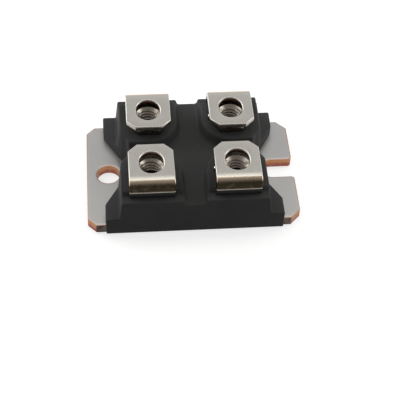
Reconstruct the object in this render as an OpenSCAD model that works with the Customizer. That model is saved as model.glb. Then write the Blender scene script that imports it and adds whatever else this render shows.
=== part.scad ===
// Schottky diode module with screw terminals: two diodes on an isolated copper base plate.
// The origin is at the centre of the base plate's underside. +X points to the slotted end and +Z is up.

/* [Base plate] */
// Length of the copper base plate
plate_l = 38; // [36.5:0.1:40]
// Thickness of the base plate
plate_t = 2; // [1.5:0.1:3]
// Corner cuts at the end with the round hole
hole_end_cut = 1.5; // [0.5:0.1:2.4]
// Corner cuts at the end with the open slot
slot_end_cut = 1.8; // [0.5:0.1:2.4]
// Distance from each end of the plate to its mounting screw
mount_inset = 3.9; // [3.4:0.1:4.4]
// Diameter of the round hole and width of the slot
mount_d = 4.2; // [3.2:0.1:4.8]
// Rounding of the two corners at the mouth of the slot
mouth_r = 0.6; // [0.2:0.1:1.2]

/* [Housing] */
// Length of the moulding over its four wings
body_l = 31.6; // [30.8:0.1:32.4]
// Width of the moulding
body_w = 25.1; // [24.6:0.1:27]
// Width of the side rails that wrap the plate
rail_w = 0.7; // [0.4:0.05:0.95]
// Lift of the side rails above the underside of the plate
rail_lift = 0.25; // [0:0.05:0.4]
// Height of the wings above the plate
wing_h = 2.1; // [1.6:0.1:3]
// Length of the square end of each wing
wing_end = 3.75; // [2.5:0.05:5]
// Radius kept clear round each mounting screw for its head and washer
head_r = 4; // [3.4:0.1:4.4]
// Depth by which the wing diagonals cut across that round recess
recess_bite = 0.2; // [0.1:0.05:0.5]
// Draft of the core's two ends
core_draft = 6.2; // [1:0.2:9]
// Height of the central channel above the plate
channel_h = 5.15; // [4.6:0.05:5.2]
// Height of the ledges that the terminals leave, above the plate
ledge_h = 6.3; // [5.8:0.1:6.9]
// Height of the four towers above the plate
tower_h = 7.2; // [6.6:0.1:8]
// Radius of a tower's round corner at the top
tower_r = 5.2; // [4.9:0.1:5.5]
// Draft of the tower walls along the channel
tower_draft = 15; // [2:1:18]
// Wall left between a nut pocket and the outer side of its tower
pocket_rim = 0.5; // [0.15:0.05:0.7]
// Wall left between a corner of a nut pocket and the end of its tower
end_wall = 1.25; // [0.8:0.05:1.6]

/* [Terminals] */
// Distance between terminal screws along the module
screw_pitch_x = 15; // [14.6:0.1:15.4]
// Distance between terminal screws across the module
screw_pitch_y = 12.7; // [12.5:0.1:12.9]
// Width of a terminal strap
strap_w = 8; // [6.8:0.1:8.6]
// Thickness of a terminal strap
strap_t = 0.8; // [0.6:0.05:1]
// Height of the terminal faces above the plate
strap_h = 10; // [9.6:0.1:11]
// Width of the screw hole in a strap
strap_hole_d = 4.2; // [4:0.1:4.8]
// Play of the screw along the strap, by which its hole is longer than wide
strap_hole_play = 0.6; // [0.2:0.1:1]
// Length of strap from the screw to its free end
nose_l = 4.35; // [3.6:0.05:5]
// Corner cuts at the free end of a strap
nose_cut = 1.6; // [0.6:0.1:2]
// Inner radius of the bend at the top of a strap
bend_r = 0.5; // [0.3:0.1:1]
// Gap between the leg of a strap and the tower behind it
leg_gap = 0.05; // [0.05:0.05:0.3]
// Depth below the ledge at which a leg narrows to its foot
shoulder_depth = 1.4; // [0.8:0.1:1.8]
// Width of a strap's foot
foot_w = 4; // [3:0.1:4.4]
// Length of a foot, measured from its leg
foot_l = 3.2; // [2.4:0.1:3.4]
// Inner radius of the bend above a foot
foot_bend_r = 0.4; // [0.2:0.1:0.8]

/* [Nuts] */
// Width of a nut across its flats
nut_af = 7; // [6.6:0.1:7.1]
// Thickness of a nut
nut_h = 3.2; // [2.6:0.1:3.4]
// Diameter of a nut's round faces, inside the chamfer of its corners
nut_face_d = 6.6; // [6:0.1:6.6]
// Diameter of the bore at the crests of a nut's thread
nut_bore_d = 3.3; // [2.9:0.05:3.5]
// Diameter of the countersink at both ends of the bore
nut_sink_d = 4.7; // [4:0.05:5]
// Free height between a nut and the strap above it
nut_gap = 0.8; // [0.4:0.1:1]
// Clearance round a nut in its pocket
pocket_clear = 0.05; // [0.05:0.05:0.2]
// Diameter of the well for the screw's tip
well_d = 5.2; // [4.8:0.1:5.6]
// Depth of the well below the nut
well_depth = 1.6; // [0.6:0.1:1.8]

/* [Substrate and diodes] */
// Length of the ceramic plate
ceramic_l = 20.4; // [19.8:0.1:20.8]
// Margin of base plate on either side of the ceramic plate
ceramic_margin = 1.35; // [1:0.05:1.6]
// Thickness of the ceramic plate
ceramic_t = 0.63; // [0.38:0.05:0.8]
// Thickness of the copper on either side of the ceramic
copper_t = 0.3; // [0.2:0.05:0.4]
// Bare margin of ceramic round the copper
copper_inset = 0.5; // [0.3:0.05:0.7]
// Gap etched between two copper pads
pad_gap = 1; // [0.6:0.1:1.4]
// Length of anode pad kept for the clip, beside the terminal's foot
clip_room = 2.8; // [2.6:0.1:3.4]
// Side of the square diode die
die_w = 6.4; // [5:0.1:6.8]
// Thickness of the diode die
die_t = 0.3; // [0.2:0.05:0.4]
// Distance from the edge of the cathode pad to the die
die_inset = 1; // [0.6:0.1:1.6]
// Width of an anode clip
clip_w = 4; // [2.5:0.1:4.6]
// Thickness of an anode clip
clip_t = 0.4; // [0.3:0.05:0.5]
// Length of clip that is soldered to the die
clip_on_die = 4; // [3:0.1:4.4]
// Length of clip that is soldered to the anode pad
clip_on_pad = 1.6; // [1:0.1:1.7]
// Rise of the clip's arch above the die
clip_rise = 0.7; // [0.4:0.1:0.8]

/* [Hidden] */
$fn = 64;

// Cuts run this far past the faces they open
over = 1;

// Levels above the underside of the plate
wing_z = plate_t + wing_h;
channel_z = plate_t + channel_h;
ledge_z = plate_t + ledge_h;
tower_z = plate_t + tower_h;
strap_z = plate_t + strap_h;
nut_z = strap_z - strap_t - nut_gap - nut_h;
well_z = nut_z - well_depth;
ceramic_z = plate_t + copper_t;
pad_z = ceramic_z + ceramic_t;
chip_z = pad_z + copper_t;
die_top_z = chip_z + die_t;
shoulder_z = ledge_z - shoulder_depth;

// Places of the mounting screws and the terminal screws
mount_x = plate_l / 2 - mount_inset;
screw_x = screw_pitch_x / 2;
screw_y = screw_pitch_y / 2;

// Tower walls, from the pocket outwards to the terminal's leg and to the drafted end of the core
pocket_af = nut_af + 2 * pocket_clear;
pocket_corner_r = pocket_af / 2 / cos(30);
tower_x = screw_x + pocket_corner_r + end_wall;
core_foot_x = tower_x + (tower_z - wing_z) * tan(core_draft);
tower_y = screw_y + pocket_af / 2 + pocket_rim;
tower_foot_r = tower_r + (tower_z - channel_z) * tan(tower_draft);
leg_in_y = tower_y + leg_gap;

// Wing corner, and the point inside the round recess to which its diagonal runs
wing_x = body_l / 2;
wing_y = body_w / 2 - wing_end;
diagonal_r = head_r - recess_bite;
diagonal_turn = atan2(wing_y, wing_x - mount_x) + acos(diagonal_r / norm([wing_x - mount_x, wing_y]));
recess_x = mount_x + diagonal_r * cos(diagonal_turn);
recess_y = diagonal_r * sin(diagonal_turn);

// Width of the plate and the ceramic, and the copper field on the ceramic
plate_w = body_w - 2 * rail_w;
ceramic_w = plate_w - 2 * ceramic_margin;
copper_x = ceramic_l / 2 - copper_inset;
copper_y = ceramic_w / 2 - copper_inset;
pad_x = pad_gap / 2;
anode_edge_y = foot_l + clip_room - leg_in_y;
cathode_edge_y = anode_edge_y + pad_gap;
die_x = (pad_x + copper_x) / 2;
die_y = cathode_edge_y + die_inset + die_w / 2;

// Chamfers of a nut, at its corners and at both ends of its bore
nut_corner_r = nut_af / 2 / cos(30);
nut_face_r = nut_face_d / 2;
nut_chamfer = (nut_corner_r - nut_face_r) * tan(30);
nut_sink = (nut_sink_d - nut_bore_d) / 2;

copper_colour = [0.80, 0.47, 0.30];
nickel_colour = [0.78, 0.76, 0.73];
steel_colour = [0.70, 0.70, 0.69];
moulding_colour = [0.17, 0.17, 0.17];
ceramic_colour = [0.93, 0.92, 0.88];
die_colour = [0.42, 0.44, 0.48];

// Mirrors its children to the left of the module
module on_left() {
    mirror([1, 0, 0]) children();
}

// Mirrors its children to the front of the module
module on_front() {
    mirror([0, 1, 0]) children();
}

// Repeats its children in all four quarters of the module
module in_quarters() {
    for (turn_x = [0, 1], turn_y = [0, 1])
        mirror([turn_x, 0, 0]) mirror([0, turn_y, 0]) children();
}

// Block between two corners
module block(low, high) {
    translate(low) cube(high - low);
}

// Sweeps an outline drawn in Y and Z along the module, from x = low to x = high
module along_x(low, high) {
    translate([low, 0, 0]) rotate([90, 0, 90]) linear_extrude(high - low) children();
}

// Sweeps an outline drawn in X and Z across the module, from y = low to y = high
module along_y(low, high) {
    translate([0, high, 0]) rotate([90, 0, 0]) linear_extrude(high - low) children();
}

// Base plate

module plate_outline() {
    end_x = plate_l / 2;
    side_y = plate_w / 2;
    polygon([[-end_x, side_y - hole_end_cut], [-end_x + hole_end_cut, side_y],
             [end_x - slot_end_cut, side_y], [end_x, side_y - slot_end_cut],
             [end_x, slot_end_cut - side_y], [end_x - slot_end_cut, -side_y],
             [-end_x + hole_end_cut, -side_y], [-end_x, hole_end_cut - side_y]]);
}

// Slot with a round inner end, open at +X, with rounded corners at its mouth
module slot_outline() {
    half_w = mount_d / 2;
    mouth_x = plate_l / 2 - mouth_r;
    translate([mount_x, 0]) circle(half_w);
    translate([mount_x, -half_w]) square([plate_l / 2 - mount_x + over, mount_d]);
    difference() {
        translate([mouth_x, -half_w - mouth_r]) square([mouth_r + over, mount_d + 2 * mouth_r]);
        for (side = [-1, 1])
            translate([mouth_x, side * (half_w + mouth_r)]) circle(mouth_r);
    }
}

module base_plate() {
    color(copper_colour) linear_extrude(plate_t) difference() {
        plate_outline();
        translate([-mount_x, 0]) circle(mount_d / 2);
        slot_outline();
    }
}

// Housing

// Recess round one mounting screw, opening along the two wing diagonals
module recess_outline() {
    out_x = max(plate_l, body_l) / 2 + over;
    translate([mount_x, 0]) circle(head_r);
    polygon([[recess_x, recess_y], [wing_x, wing_y], [out_x, wing_y],
             [out_x, -wing_y], [wing_x, -wing_y], [recess_x, -recess_y]]);
}

// Plan view of the moulding, with a recess at each end
module plan_outline() {
    difference() {
        square([body_l, body_w], center = true);
        recess_outline();
        on_left() recess_outline();
    }
}

// Section along the moulding: the wings, and a core with drafted ends up to a given level
module core_section(top_z) {
    top_x = core_foot_x - (top_z - wing_z) * tan(core_draft);
    polygon([[-wing_x, rail_lift], [wing_x, rail_lift], [wing_x, wing_z], [core_foot_x, wing_z],
             [top_x, top_z], [-top_x, top_z], [-core_foot_x, wing_z], [-wing_x, wing_z]]);
}

// Section of a tower or ledge whose drafted wall stands beside the channel, up to a given level
module wall_section(axis, outer, top_z) {
    lean = (top_z - channel_z) * tan(tower_draft);
    polygon([[axis - tower_foot_r, channel_z], [outer, channel_z],
             [outer, top_z], [axis - tower_foot_r + lean, top_z]]);
}

// Tower of the rear right terminal: its corner next to the channel is round
module tower() {
    translate([screw_x, screw_y, 0]) rotate([0, 0, 180]) rotate_extrude(angle = 90)
        polygon([[0, channel_z], [tower_foot_r, channel_z], [tower_r, tower_z], [0, tower_z]]);
    along_y(screw_y, tower_y) wall_section(screw_x, wing_x, tower_z);
    along_x(screw_x, wing_x) wall_section(screw_y, tower_y, tower_z);
}

module ledge() {
    along_y(tower_y, body_w / 2) wall_section(screw_x, wing_x, ledge_z);
}

module nut_pocket() {
    translate([screw_x, screw_y, nut_z])
        cylinder(h = tower_z - nut_z + over, r = pocket_corner_r, $fn = 6);
    translate([screw_x, screw_y, well_z]) cylinder(h = nut_z - well_z + over, d = well_d);
}

// Everything that the moulding compound flows round
module moulded_in() {
    block([-plate_l / 2, -plate_w / 2, -over], [plate_l / 2, plate_w / 2, plate_t]);
    in_quarters() terminal_strap();
    bottom_copper_layer();
    ceramic_layer();
    cathode_pad();
    on_left() cathode_pad();
    anode_pad();
    on_left() anode_pad();
    diode_die();
    on_left() diode_die();
    anode_clip();
    on_left() anode_clip();
}

// Outer form of the moulding: the plan cut out of a low core with towers and ledges on it
module moulding() {
    intersection() {
        linear_extrude(tower_z + over) plan_outline();
        union() {
            along_y(-body_w / 2, body_w / 2) core_section(channel_z);
            intersection() {
                along_y(-body_w / 2, body_w / 2) core_section(tower_z);
                in_quarters() {
                    tower();
                    ledge();
                }
            }
        }
    }
}

module housing() {
    color(moulding_colour) difference() {
        moulding();
        in_quarters() nut_pocket();
        moulded_in();
    }
}

// Terminals

// Quarter ring of a bend, about the origin, in the quarter that the two signs give
module bend_outline(inner_r, side_y, side_z) {
    outer_r = inner_r + strap_t;
    intersection() {
        difference() {
            circle(outer_r);
            circle(inner_r);
        }
        translate([min(0, side_y * outer_r), min(0, side_z * outer_r)]) square(outer_r);
    }
}

// Side view of the visible strap: face, bend and the wide part of the leg
module strap_outline() {
    bend_y = leg_in_y - bend_r;
    bend_z = strap_z - strap_t - bend_r;
    translate([screw_y - nose_l, strap_z - strap_t]) square([bend_y - screw_y + nose_l, strap_t]);
    translate([bend_y, bend_z]) bend_outline(bend_r, 1, 1);
    translate([leg_in_y, shoulder_z]) square([strap_t, bend_z - shoulder_z]);
}

// Side view of the narrow part of the leg and the foot that stands on a copper pad
module foot_outline() {
    bend_y = leg_in_y - foot_bend_r;
    bend_z = chip_z + strap_t + foot_bend_r;
    translate([leg_in_y, bend_z]) square([strap_t, shoulder_z - bend_z]);
    translate([bend_y, bend_z]) bend_outline(foot_bend_r, 1, -1);
    translate([leg_in_y - foot_l, chip_z]) square([foot_l - foot_bend_r, strap_t]);
}

// Cut-off corners at the free end of the strap
module nose_corners() {
    nose_y = screw_y - nose_l;
    for (side = [-1, 1])
        translate([screw_x + side * strap_w / 2, nose_y, strap_z - strap_t - over])
            linear_extrude(strap_t + 2 * over)
                polygon([[side * over, -over], [side * over, nose_cut + over],
                         [-side * nose_cut - side * over, -over]]);
}

// Screw hole through the strap, with round ends
module screw_hole() {
    translate([screw_x, screw_y, strap_z - strap_t - over]) linear_extrude(strap_t + 2 * over) {
        for (side = [-1, 1])
            translate([0, side * strap_hole_play / 2]) circle(strap_hole_d / 2);
        square([strap_hole_d, strap_hole_play], center = true);
    }
}

// Strap of the rear right terminal
module terminal_strap() {
    difference() {
        union() {
            along_x(screw_x - strap_w / 2, screw_x + strap_w / 2) strap_outline();
            along_x(screw_x - foot_w / 2, screw_x + foot_w / 2) foot_outline();
        }
        nose_corners();
        screw_hole();
    }
}

module terminal_rear_right() {
    color(nickel_colour) terminal_strap();
}

module terminal_rear_left() {
    color(nickel_colour) on_left() terminal_strap();
}

module terminal_front_right() {
    color(nickel_colour) on_front() terminal_strap();
}

module terminal_front_left() {
    color(nickel_colour) on_left() on_front() terminal_strap();
}

// Nuts

// Hexagon nut, flats to the front and rear, corners chamfered and bore countersunk at both faces
module hexagon_nut() {
    difference() {
        intersection() {
            cylinder(h = nut_h, r = nut_corner_r, $fn = 6);
            rotate_extrude()
                polygon([[0, 0], [nut_face_r, 0], [nut_corner_r, nut_chamfer],
                         [nut_corner_r, nut_h - nut_chamfer], [nut_face_r, nut_h], [0, nut_h]]);
        }
        rotate_extrude()
            polygon([[0, -over], [nut_sink_d / 2 + over, -over], [nut_bore_d / 2, nut_sink],
                     [nut_bore_d / 2, nut_h - nut_sink], [nut_sink_d / 2 + over, nut_h + over],
                     [0, nut_h + over]]);
    }
}

module terminal_nuts() {
    color(steel_colour) in_quarters() translate([screw_x, screw_y, nut_z]) hexagon_nut();
}

// Substrate and diodes

module bottom_copper_layer() {
    block([-copper_x, -copper_y, plate_t], [copper_x, copper_y, ceramic_z]);
}

module ceramic_layer() {
    block([-ceramic_l / 2, -ceramic_w / 2, ceramic_z], [ceramic_l / 2, ceramic_w / 2, pad_z]);
}

// Pad of the right diode that carries the die and the rear terminal
module cathode_pad() {
    block([pad_x, cathode_edge_y, pad_z], [copper_x, copper_y, chip_z]);
}

// Pad of the right diode that carries the clip and the front terminal
module anode_pad() {
    block([pad_x, -copper_y, pad_z], [copper_x, anode_edge_y, chip_z]);
}

module diode_die() {
    block([die_x - die_w / 2, die_y - die_w / 2, chip_z], [die_x + die_w / 2, die_y + die_w / 2, die_top_z]);
}

// Clip that arches from the top of the die to the anode pad, as a strip of even height
module anode_clip() {
    die_front_y = die_y - clip_on_die / 2;
    arch_z = die_top_z + clip_rise;
    pad_rear_y = anode_edge_y - pad_gap / 2;
    lower_line = [[die_y + clip_on_die / 2, die_top_z], [die_front_y, die_top_z],
                  [die_front_y - clip_rise, arch_z], [pad_rear_y + clip_rise, arch_z],
                  [pad_rear_y, chip_z], [pad_rear_y - clip_on_pad, chip_z]];
    upper_line = [for (i = [len(lower_line) - 1:-1:0]) lower_line[i] + [0, clip_t]];
    along_x(die_x - clip_w / 2, die_x + clip_w / 2) polygon(concat(lower_line, upper_line));
}

module substrate_bottom_copper() {
    color(copper_colour) bottom_copper_layer();
}

module ceramic_substrate() {
    color(ceramic_colour) ceramic_layer();
}

module cathode_pad_right() {
    color(copper_colour) cathode_pad();
}

module cathode_pad_left() {
    color(copper_colour) on_left() cathode_pad();
}

module anode_pad_right() {
    color(copper_colour) anode_pad();
}

module anode_pad_left() {
    color(copper_colour) on_left() anode_pad();
}

module diode_die_right() {
    color(die_colour) diode_die();
}

module diode_die_left() {
    color(die_colour) on_left() diode_die();
}

module anode_clip_right() {
    color(copper_colour) anode_clip();
}

module anode_clip_left() {
    color(copper_colour) on_left() anode_clip();
}

base_plate();
housing();
terminal_front_left();
terminal_front_right();
terminal_rear_left();
terminal_rear_right();
terminal_nuts();
substrate_bottom_copper();
ceramic_substrate();
cathode_pad_left();
cathode_pad_right();
anode_pad_left();
anode_pad_right();
diode_die_left();
diode_die_right();
anode_clip_left();
anode_clip_right();
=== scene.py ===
# %% [markdown]
# A screw-terminal diode module in a white studio
#
# The part is a flat power module: a nickel-plated copper base plate, a black moulded body, and four
# folded straps that hold captive nuts under their screw holes. Its CAD solids give every place and
# size. This lesson builds the pieces that show, with rolled edges, rounded moulding and real
# threads, gives each one its finish, and sets the camera where the photographer stood. Blender
# counts in metres, so each size of the part is written as a number of millimetres times MM.

# %% Load the frame
import math

import bmesh
import bpy
import numpy as np
from mathutils import Matrix, Vector


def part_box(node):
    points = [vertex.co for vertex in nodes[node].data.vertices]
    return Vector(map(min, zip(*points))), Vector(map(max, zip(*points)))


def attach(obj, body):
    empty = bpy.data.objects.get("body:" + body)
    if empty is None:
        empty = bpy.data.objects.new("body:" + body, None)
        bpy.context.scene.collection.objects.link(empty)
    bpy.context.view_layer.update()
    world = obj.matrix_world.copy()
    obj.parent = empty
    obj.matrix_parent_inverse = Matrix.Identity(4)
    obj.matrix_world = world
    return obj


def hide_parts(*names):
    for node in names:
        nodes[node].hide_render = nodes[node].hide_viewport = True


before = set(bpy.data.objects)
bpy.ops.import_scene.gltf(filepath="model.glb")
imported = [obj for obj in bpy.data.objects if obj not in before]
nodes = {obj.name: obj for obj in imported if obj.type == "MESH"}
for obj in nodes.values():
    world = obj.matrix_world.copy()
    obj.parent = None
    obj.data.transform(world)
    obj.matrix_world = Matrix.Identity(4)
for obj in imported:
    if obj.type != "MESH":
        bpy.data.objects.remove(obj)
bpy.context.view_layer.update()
MM = 0.001

# %% [markdown]
# The photograph looks down on the module from the front at about 50 degrees, a little from the left,
# and is tilted by under three degrees. A camera can be set by eye, but then every edge lies a little
# off. The turns and the distance here were solved from the plate's corners and the four screw holes,
# whose sizes are known, so the same pixels fall on the same edges.

# %% Camera
CAMERA_YAW = math.radians(6.5262)
CAMERA_PITCH = math.radians(49.9956)
CAMERA_ROLL = math.radians(2.6955)
CAMERA_OFFSET = (1.7901 * MM, -4.0025 * MM, 199.857 * MM)
LENS_MM = 96.876
SENSOR_MM = 36.0
CLIP_NEAR, CLIP_FAR = 0.01, 50.0


def new_object(name, data):
    """An object in the scene, for a mesh, a lamp or a camera."""
    thing = bpy.data.objects.new(name, data)
    bpy.context.scene.collection.objects.link(thing)
    return thing


camera_data = bpy.data.cameras.new("photo_camera")
camera_data.sensor_width = SENSOR_MM
camera_data.lens = LENS_MM
camera_data.clip_start = CLIP_NEAR
camera_data.clip_end = CLIP_FAR
camera = new_object("photo_camera", camera_data)
camera.matrix_world = (Matrix.Rotation(-CAMERA_YAW, 4, "Z")
                       @ Matrix.Rotation(math.pi / 2 - CAMERA_PITCH, 4, "X")
                       @ Matrix.Rotation(CAMERA_ROLL, 4, "Z")
                       @ Matrix.Translation(CAMERA_OFFSET))
bpy.context.scene.camera = camera
bpy.context.scene.view_settings.view_transform = "Standard"
print("camera at", [round(c / MM, 1) for c in camera.matrix_world.translation], "mm")

# %% [markdown]
# Shaders and Geometry Nodes both do sums with Math nodes. They can be added one by one, but a formula
# made that way is hard to read. This small class wraps an output socket, so that plain Python
# arithmetic on it adds the Math nodes, and a formula in the script looks like the formula on paper.


# %% Arithmetic on sockets
class Wire:
    """A number that flows through a node tree."""

    def __init__(self, tree, socket):
        self.tree = tree
        self.socket = socket

    def math(self, operation, *others):
        return calculate(self.tree, operation, self, *others)

    def __add__(self, other):
        return self.math("ADD", other)

    def __sub__(self, other):
        return self.math("SUBTRACT", other)

    def __rsub__(self, other):
        return calculate(self.tree, "SUBTRACT", other, self)

    def __mul__(self, other):
        return self.math("MULTIPLY", other)

    def __truediv__(self, other):
        return self.math("DIVIDE", other)

    def clamped(self, low, high):
        return self.math("MAXIMUM", low).math("MINIMUM", high)


def calculate(tree, operation, *values):
    """Adds a Math node, and returns its result as a wire."""
    node = tree.nodes.new("ShaderNodeMath")
    node.operation = operation
    for value, slot in zip(values, node.inputs):
        plug(tree, value, slot)
    return Wire(tree, node.outputs[0])


def plug(tree, value, slot):
    """Joins a wire or a socket to an input, or sets the input to a plain value."""
    if isinstance(value, Wire):
        value = value.socket
    if isinstance(value, bpy.types.NodeSocket):
        tree.links.new(value, slot)
    else:
        slot.default_value = value


print("sockets can now be added, multiplied and clamped")

# %% [markdown]
# A few more words come back in every finish: a colour between two others, a number that rises from
# one place to another, and the place of a point. Each is a node or two in Blender. A short function
# gives each a name, so that a finish reads like a recipe.


# %% Nodes, colours and places
def fill(tree, node, **inputs):
    """Sets or joins a node's inputs, named with an underscore for each space."""
    for label, value in inputs.items():
        plug(tree, value, node.inputs[label.replace("_", " ")])


def add(tree, kind, **inputs):
    """Adds a node and fills its inputs."""
    node = tree.nodes.new(kind)
    fill(tree, node, **inputs)
    return node


def blend(tree, factor, low, high):
    """A colour that goes from low to high as the factor goes from 0 to 1."""
    mix = tree.nodes.new("ShaderNodeMix")
    mix.data_type = "RGBA"
    colours = [slot for slot in mix.inputs if slot.type == "RGBA"]
    for value, slot in zip((factor, low, high), (mix.inputs[0], *colours)):
        plug(tree, value, slot)
    return next(slot for slot in mix.outputs if slot.type == "RGBA")


def ramp(wire, start, end):
    """Goes from 0 at the start value to 1 at the end value, and stays there."""
    return ((wire - start) / (end - start)).clamped(0.0, 1.0)


def between(wire, low, high):
    """Goes from low to high as the wire goes from 0 to 1."""
    return wire * (high - low) + low


def axes(tree, vector):
    """The x, y and z of a vector, as three wires."""
    split = add(tree, "ShaderNodeSeparateXYZ", Vector=vector)
    return [Wire(tree, slot) for slot in split.outputs]


def own_place(tree):
    """The place of each point in the piece's own coordinates."""
    return tree.nodes.new("ShaderNodeTexCoord").outputs["Object"]


print("helpers for nodes, colours and places are ready")

# %% [markdown]
# The module stands on a pure white ground. A floor that is lit until it is white would throw that
# light back onto the part, so this floor is a pale sheet that keeps the soft shadow. A glow that only
# the eye and reflections see takes it from pale to white, and more so further away, where less of the
# overhead light arrives.

# %% Floor
FLOOR_HALF_SIZE = 10.0
FLOOR_CORNERS = ((-1, -1), (1, -1), (1, 1), (-1, 1))

floor_mesh = bpy.data.meshes.new("floor")
floor_points = [(x * FLOOR_HALF_SIZE, y * FLOOR_HALF_SIZE, 0.0) for x, y in FLOOR_CORNERS]
floor_mesh.from_pydata(floor_points, [], [(0, 1, 2, 3)])
floor = new_object("floor", floor_mesh)
print("floor", 2 * FLOOR_HALF_SIZE, "m wide")

# %% White sheet
FLOOR_COLOUR = (0.52, 0.52, 0.52, 1.0)
GLOW_NEAR, GLOW_FAR = 0.72, 0.84
NEAR_UP_TO, FAR_FROM = 0.08, 0.60


def seen_rays(tree):
    """One for rays that show the background: to the eye, in a reflection or through glass."""
    rays = tree.nodes.new("ShaderNodeLightPath")
    seen = Wire(tree, rays.outputs["Is Camera Ray"])
    for kind in ("Is Glossy Ray", "Is Transmission Ray"):
        seen = seen.math("MAXIMUM", rays.outputs[kind])
    return seen


floor_finish = bpy.data.materials.new("white_sheet")
floor_finish.use_nodes = True
tree = floor_finish.node_tree
tree.nodes.clear()
paper = add(tree, "ShaderNodeBsdfDiffuse", Color=FLOOR_COLOUR)
away = add(tree, "ShaderNodeVectorMath", Vector=own_place(tree))
away.operation = "LENGTH"
far = ramp(Wire(tree, away.outputs["Value"]), NEAR_UP_TO, FAR_FROM)
glow = add(tree, "ShaderNodeEmission", Strength=seen_rays(tree) * between(far, GLOW_NEAR, GLOW_FAR))
both = tree.nodes.new("ShaderNodeAddShader")
for light, slot in zip((paper, glow), both.inputs):
    plug(tree, light.outputs[0], slot)
add(tree, "ShaderNodeOutputMaterial", Surface=both.outputs[0])
floor_mesh.materials.append(floor_finish)
print("white sheet glows from", GLOW_NEAR, "near the module to", GLOW_FAR, "far away")

# %% [markdown]
# Metal shows what stands round it, so the room matters as much as the lamp. The front is dim, where
# the photographer stood, and it darkens the legs below the bends. The rear is pale, and paler low
# down, and the flats of the straps and the plate mirror it. A picture of a room could be wrapped round
# the scene, but a few blends of colour by direction do the same, and each can be tuned by itself.

# %% Room light
ROOM_FRONT = (0.055, 0.050, 0.044, 1.0)
ROOM_REAR_HIGH = (0.40, 0.40, 0.405, 1.0)
ROOM_REAR_LOW = (0.74, 0.74, 0.745, 1.0)
FRONT_UP_TO, REAR_FROM = -1.0, 0.20
REAR_HIGH_Z, REAR_LOW_Z = 0.83, 0.67
LOW_FROM, LOW_FULL = 0.20, 0.50

world = bpy.data.worlds.new("studio")
bpy.context.scene.world = world
world.use_nodes = True
tree = world.node_tree
to_right, to_rear, upwards = axes(tree, tree.nodes.new("ShaderNodeTexCoord").outputs["Generated"])
room = blend(tree, ramp(to_rear, FRONT_UP_TO, REAR_FROM), ROOM_FRONT, ROOM_REAR_HIGH)
low_rear = ramp(upwards, REAR_HIGH_Z, REAR_LOW_Z) * ramp(to_rear, LOW_FROM, LOW_FULL)
room = blend(tree, low_rear, room, ROOM_REAR_LOW)
print("room light from", ROOM_FRONT[:3], "in front to", ROOM_REAR_LOW[:3], "low behind")

# %% [markdown]
# A window at each side lights the walls that face left and right. The left one is brighter towards the
# rear and the right one towards the front, and both fade out before the front of the room. Area lights
# would do, but soft patches in the same blend have no hard edge to mirror: a pane is where three
# ramps, sideways, up and back, are all above zero. Last, the lowest part of the room turns white for
# the eye and for reflections alone, so that the ground has no end.

# %% Windows and backdrop
LEFT_WINDOW = ((1.1, 1.1, 1.11, 1.0), (3.2, 3.2, 3.23, 1.0))
RIGHT_WINDOW = ((2.3, 2.3, 2.32, 1.0), (0.9, 0.9, 0.91, 1.0))
PANE_FRONT_UP_TO, PANE_REAR_FROM = 0.15, 0.45
WINDOW_EDGE, WINDOW_MIDDLE = 0.40, 0.60
WINDOW_TOP, WINDOW_HEAD = 0.62, 0.50
WINDOW_FRONT, WINDOW_REAR = -0.50, -0.20
BACKDROP_UP_TO, BACKDROP_END = 0.10, 0.16
WHITE = (1.0, 1.0, 1.0, 1.0)

for side, (in_front, behind) in ((-1.0, LEFT_WINDOW), (1.0, RIGHT_WINDOW)):
    pane = ramp(to_right * side, WINDOW_EDGE, WINDOW_MIDDLE) * ramp(upwards, WINDOW_TOP, WINDOW_HEAD)
    pane = pane * ramp(to_rear, WINDOW_FRONT, WINDOW_REAR)
    daylight = blend(tree, ramp(to_rear, PANE_FRONT_UP_TO, PANE_REAR_FROM), in_front, behind)
    room = blend(tree, pane, room, daylight)
backdrop = seen_rays(tree) * ramp(upwards, BACKDROP_END, BACKDROP_UP_TO)
fill(tree, tree.nodes["Background"], Color=blend(tree, backdrop, room, WHITE))
print("the room is a tree of", len(tree.nodes), "nodes")

# %% [markdown]
# One long soft light hangs above the module, a little behind it. It draws the bright band along the
# start of each bend, and gives the soft shadow. A point or sun lamp would make hard edges, so this is
# an area light as long as a studio softbox, slightly warm, at a power that lights the part plainly.

# %% Overhead light
SOFTBOX_L, SOFTBOX_W = 1.10, 0.20
SOFTBOX_PLACE = (0.0, 0.14, 0.45)
SOFTBOX_WATTS = 0.88
SOFTBOX_COLOUR = (1.0, 0.965, 0.905)

softbox_data = bpy.data.lights.new("softbox", "AREA")
softbox_data.shape = "RECTANGLE"
softbox_data.size = SOFTBOX_L
softbox_data.size_y = SOFTBOX_W
softbox_data.energy = SOFTBOX_WATTS
softbox_data.color = SOFTBOX_COLOUR
softbox = new_object("softbox", softbox_data)
softbox.location = SOFTBOX_PLACE
print("softbox radiance", round(SOFTBOX_WATTS / (math.pi * SOFTBOX_L * SOFTBOX_W), 2))

# %% [markdown]
# Every finish here is a Principled shader fed by noise on the piece's own coordinates. A picture would
# need the piece unwrapped, and would stretch somewhere, and noise does neither. It is sized in waves
# for each millimetre, because a surface looks right only when its grain has the right size. Slow noise
# varies the colour, and fine noise varies the roughness and the height.

# %% Finish helpers
GRAIN_DETAIL = 3.0
EVEN = (1.0, 1.0, 1.0)


def new_finish(name):
    """A new material, its tree and its Principled shader."""
    material = bpy.data.materials.new(name)
    material.use_nodes = True
    return material, material.node_tree, material.node_tree.nodes["Principled BSDF"]


def grain(tree, waves, stretch=EVEN):
    """Noise from 0 to 1 with a number of waves per millimetre, which a stretch below 1 draws out."""
    scale = [share * waves / MM for share in stretch]
    place = add(tree, "ShaderNodeMapping", Vector=own_place(tree), Scale=scale)
    noise = add(tree, "ShaderNodeTexNoise", Vector=place.outputs["Vector"], Scale=1.0, Detail=GRAIN_DETAIL)
    return Wire(tree, noise.outputs["Fac"])


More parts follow.
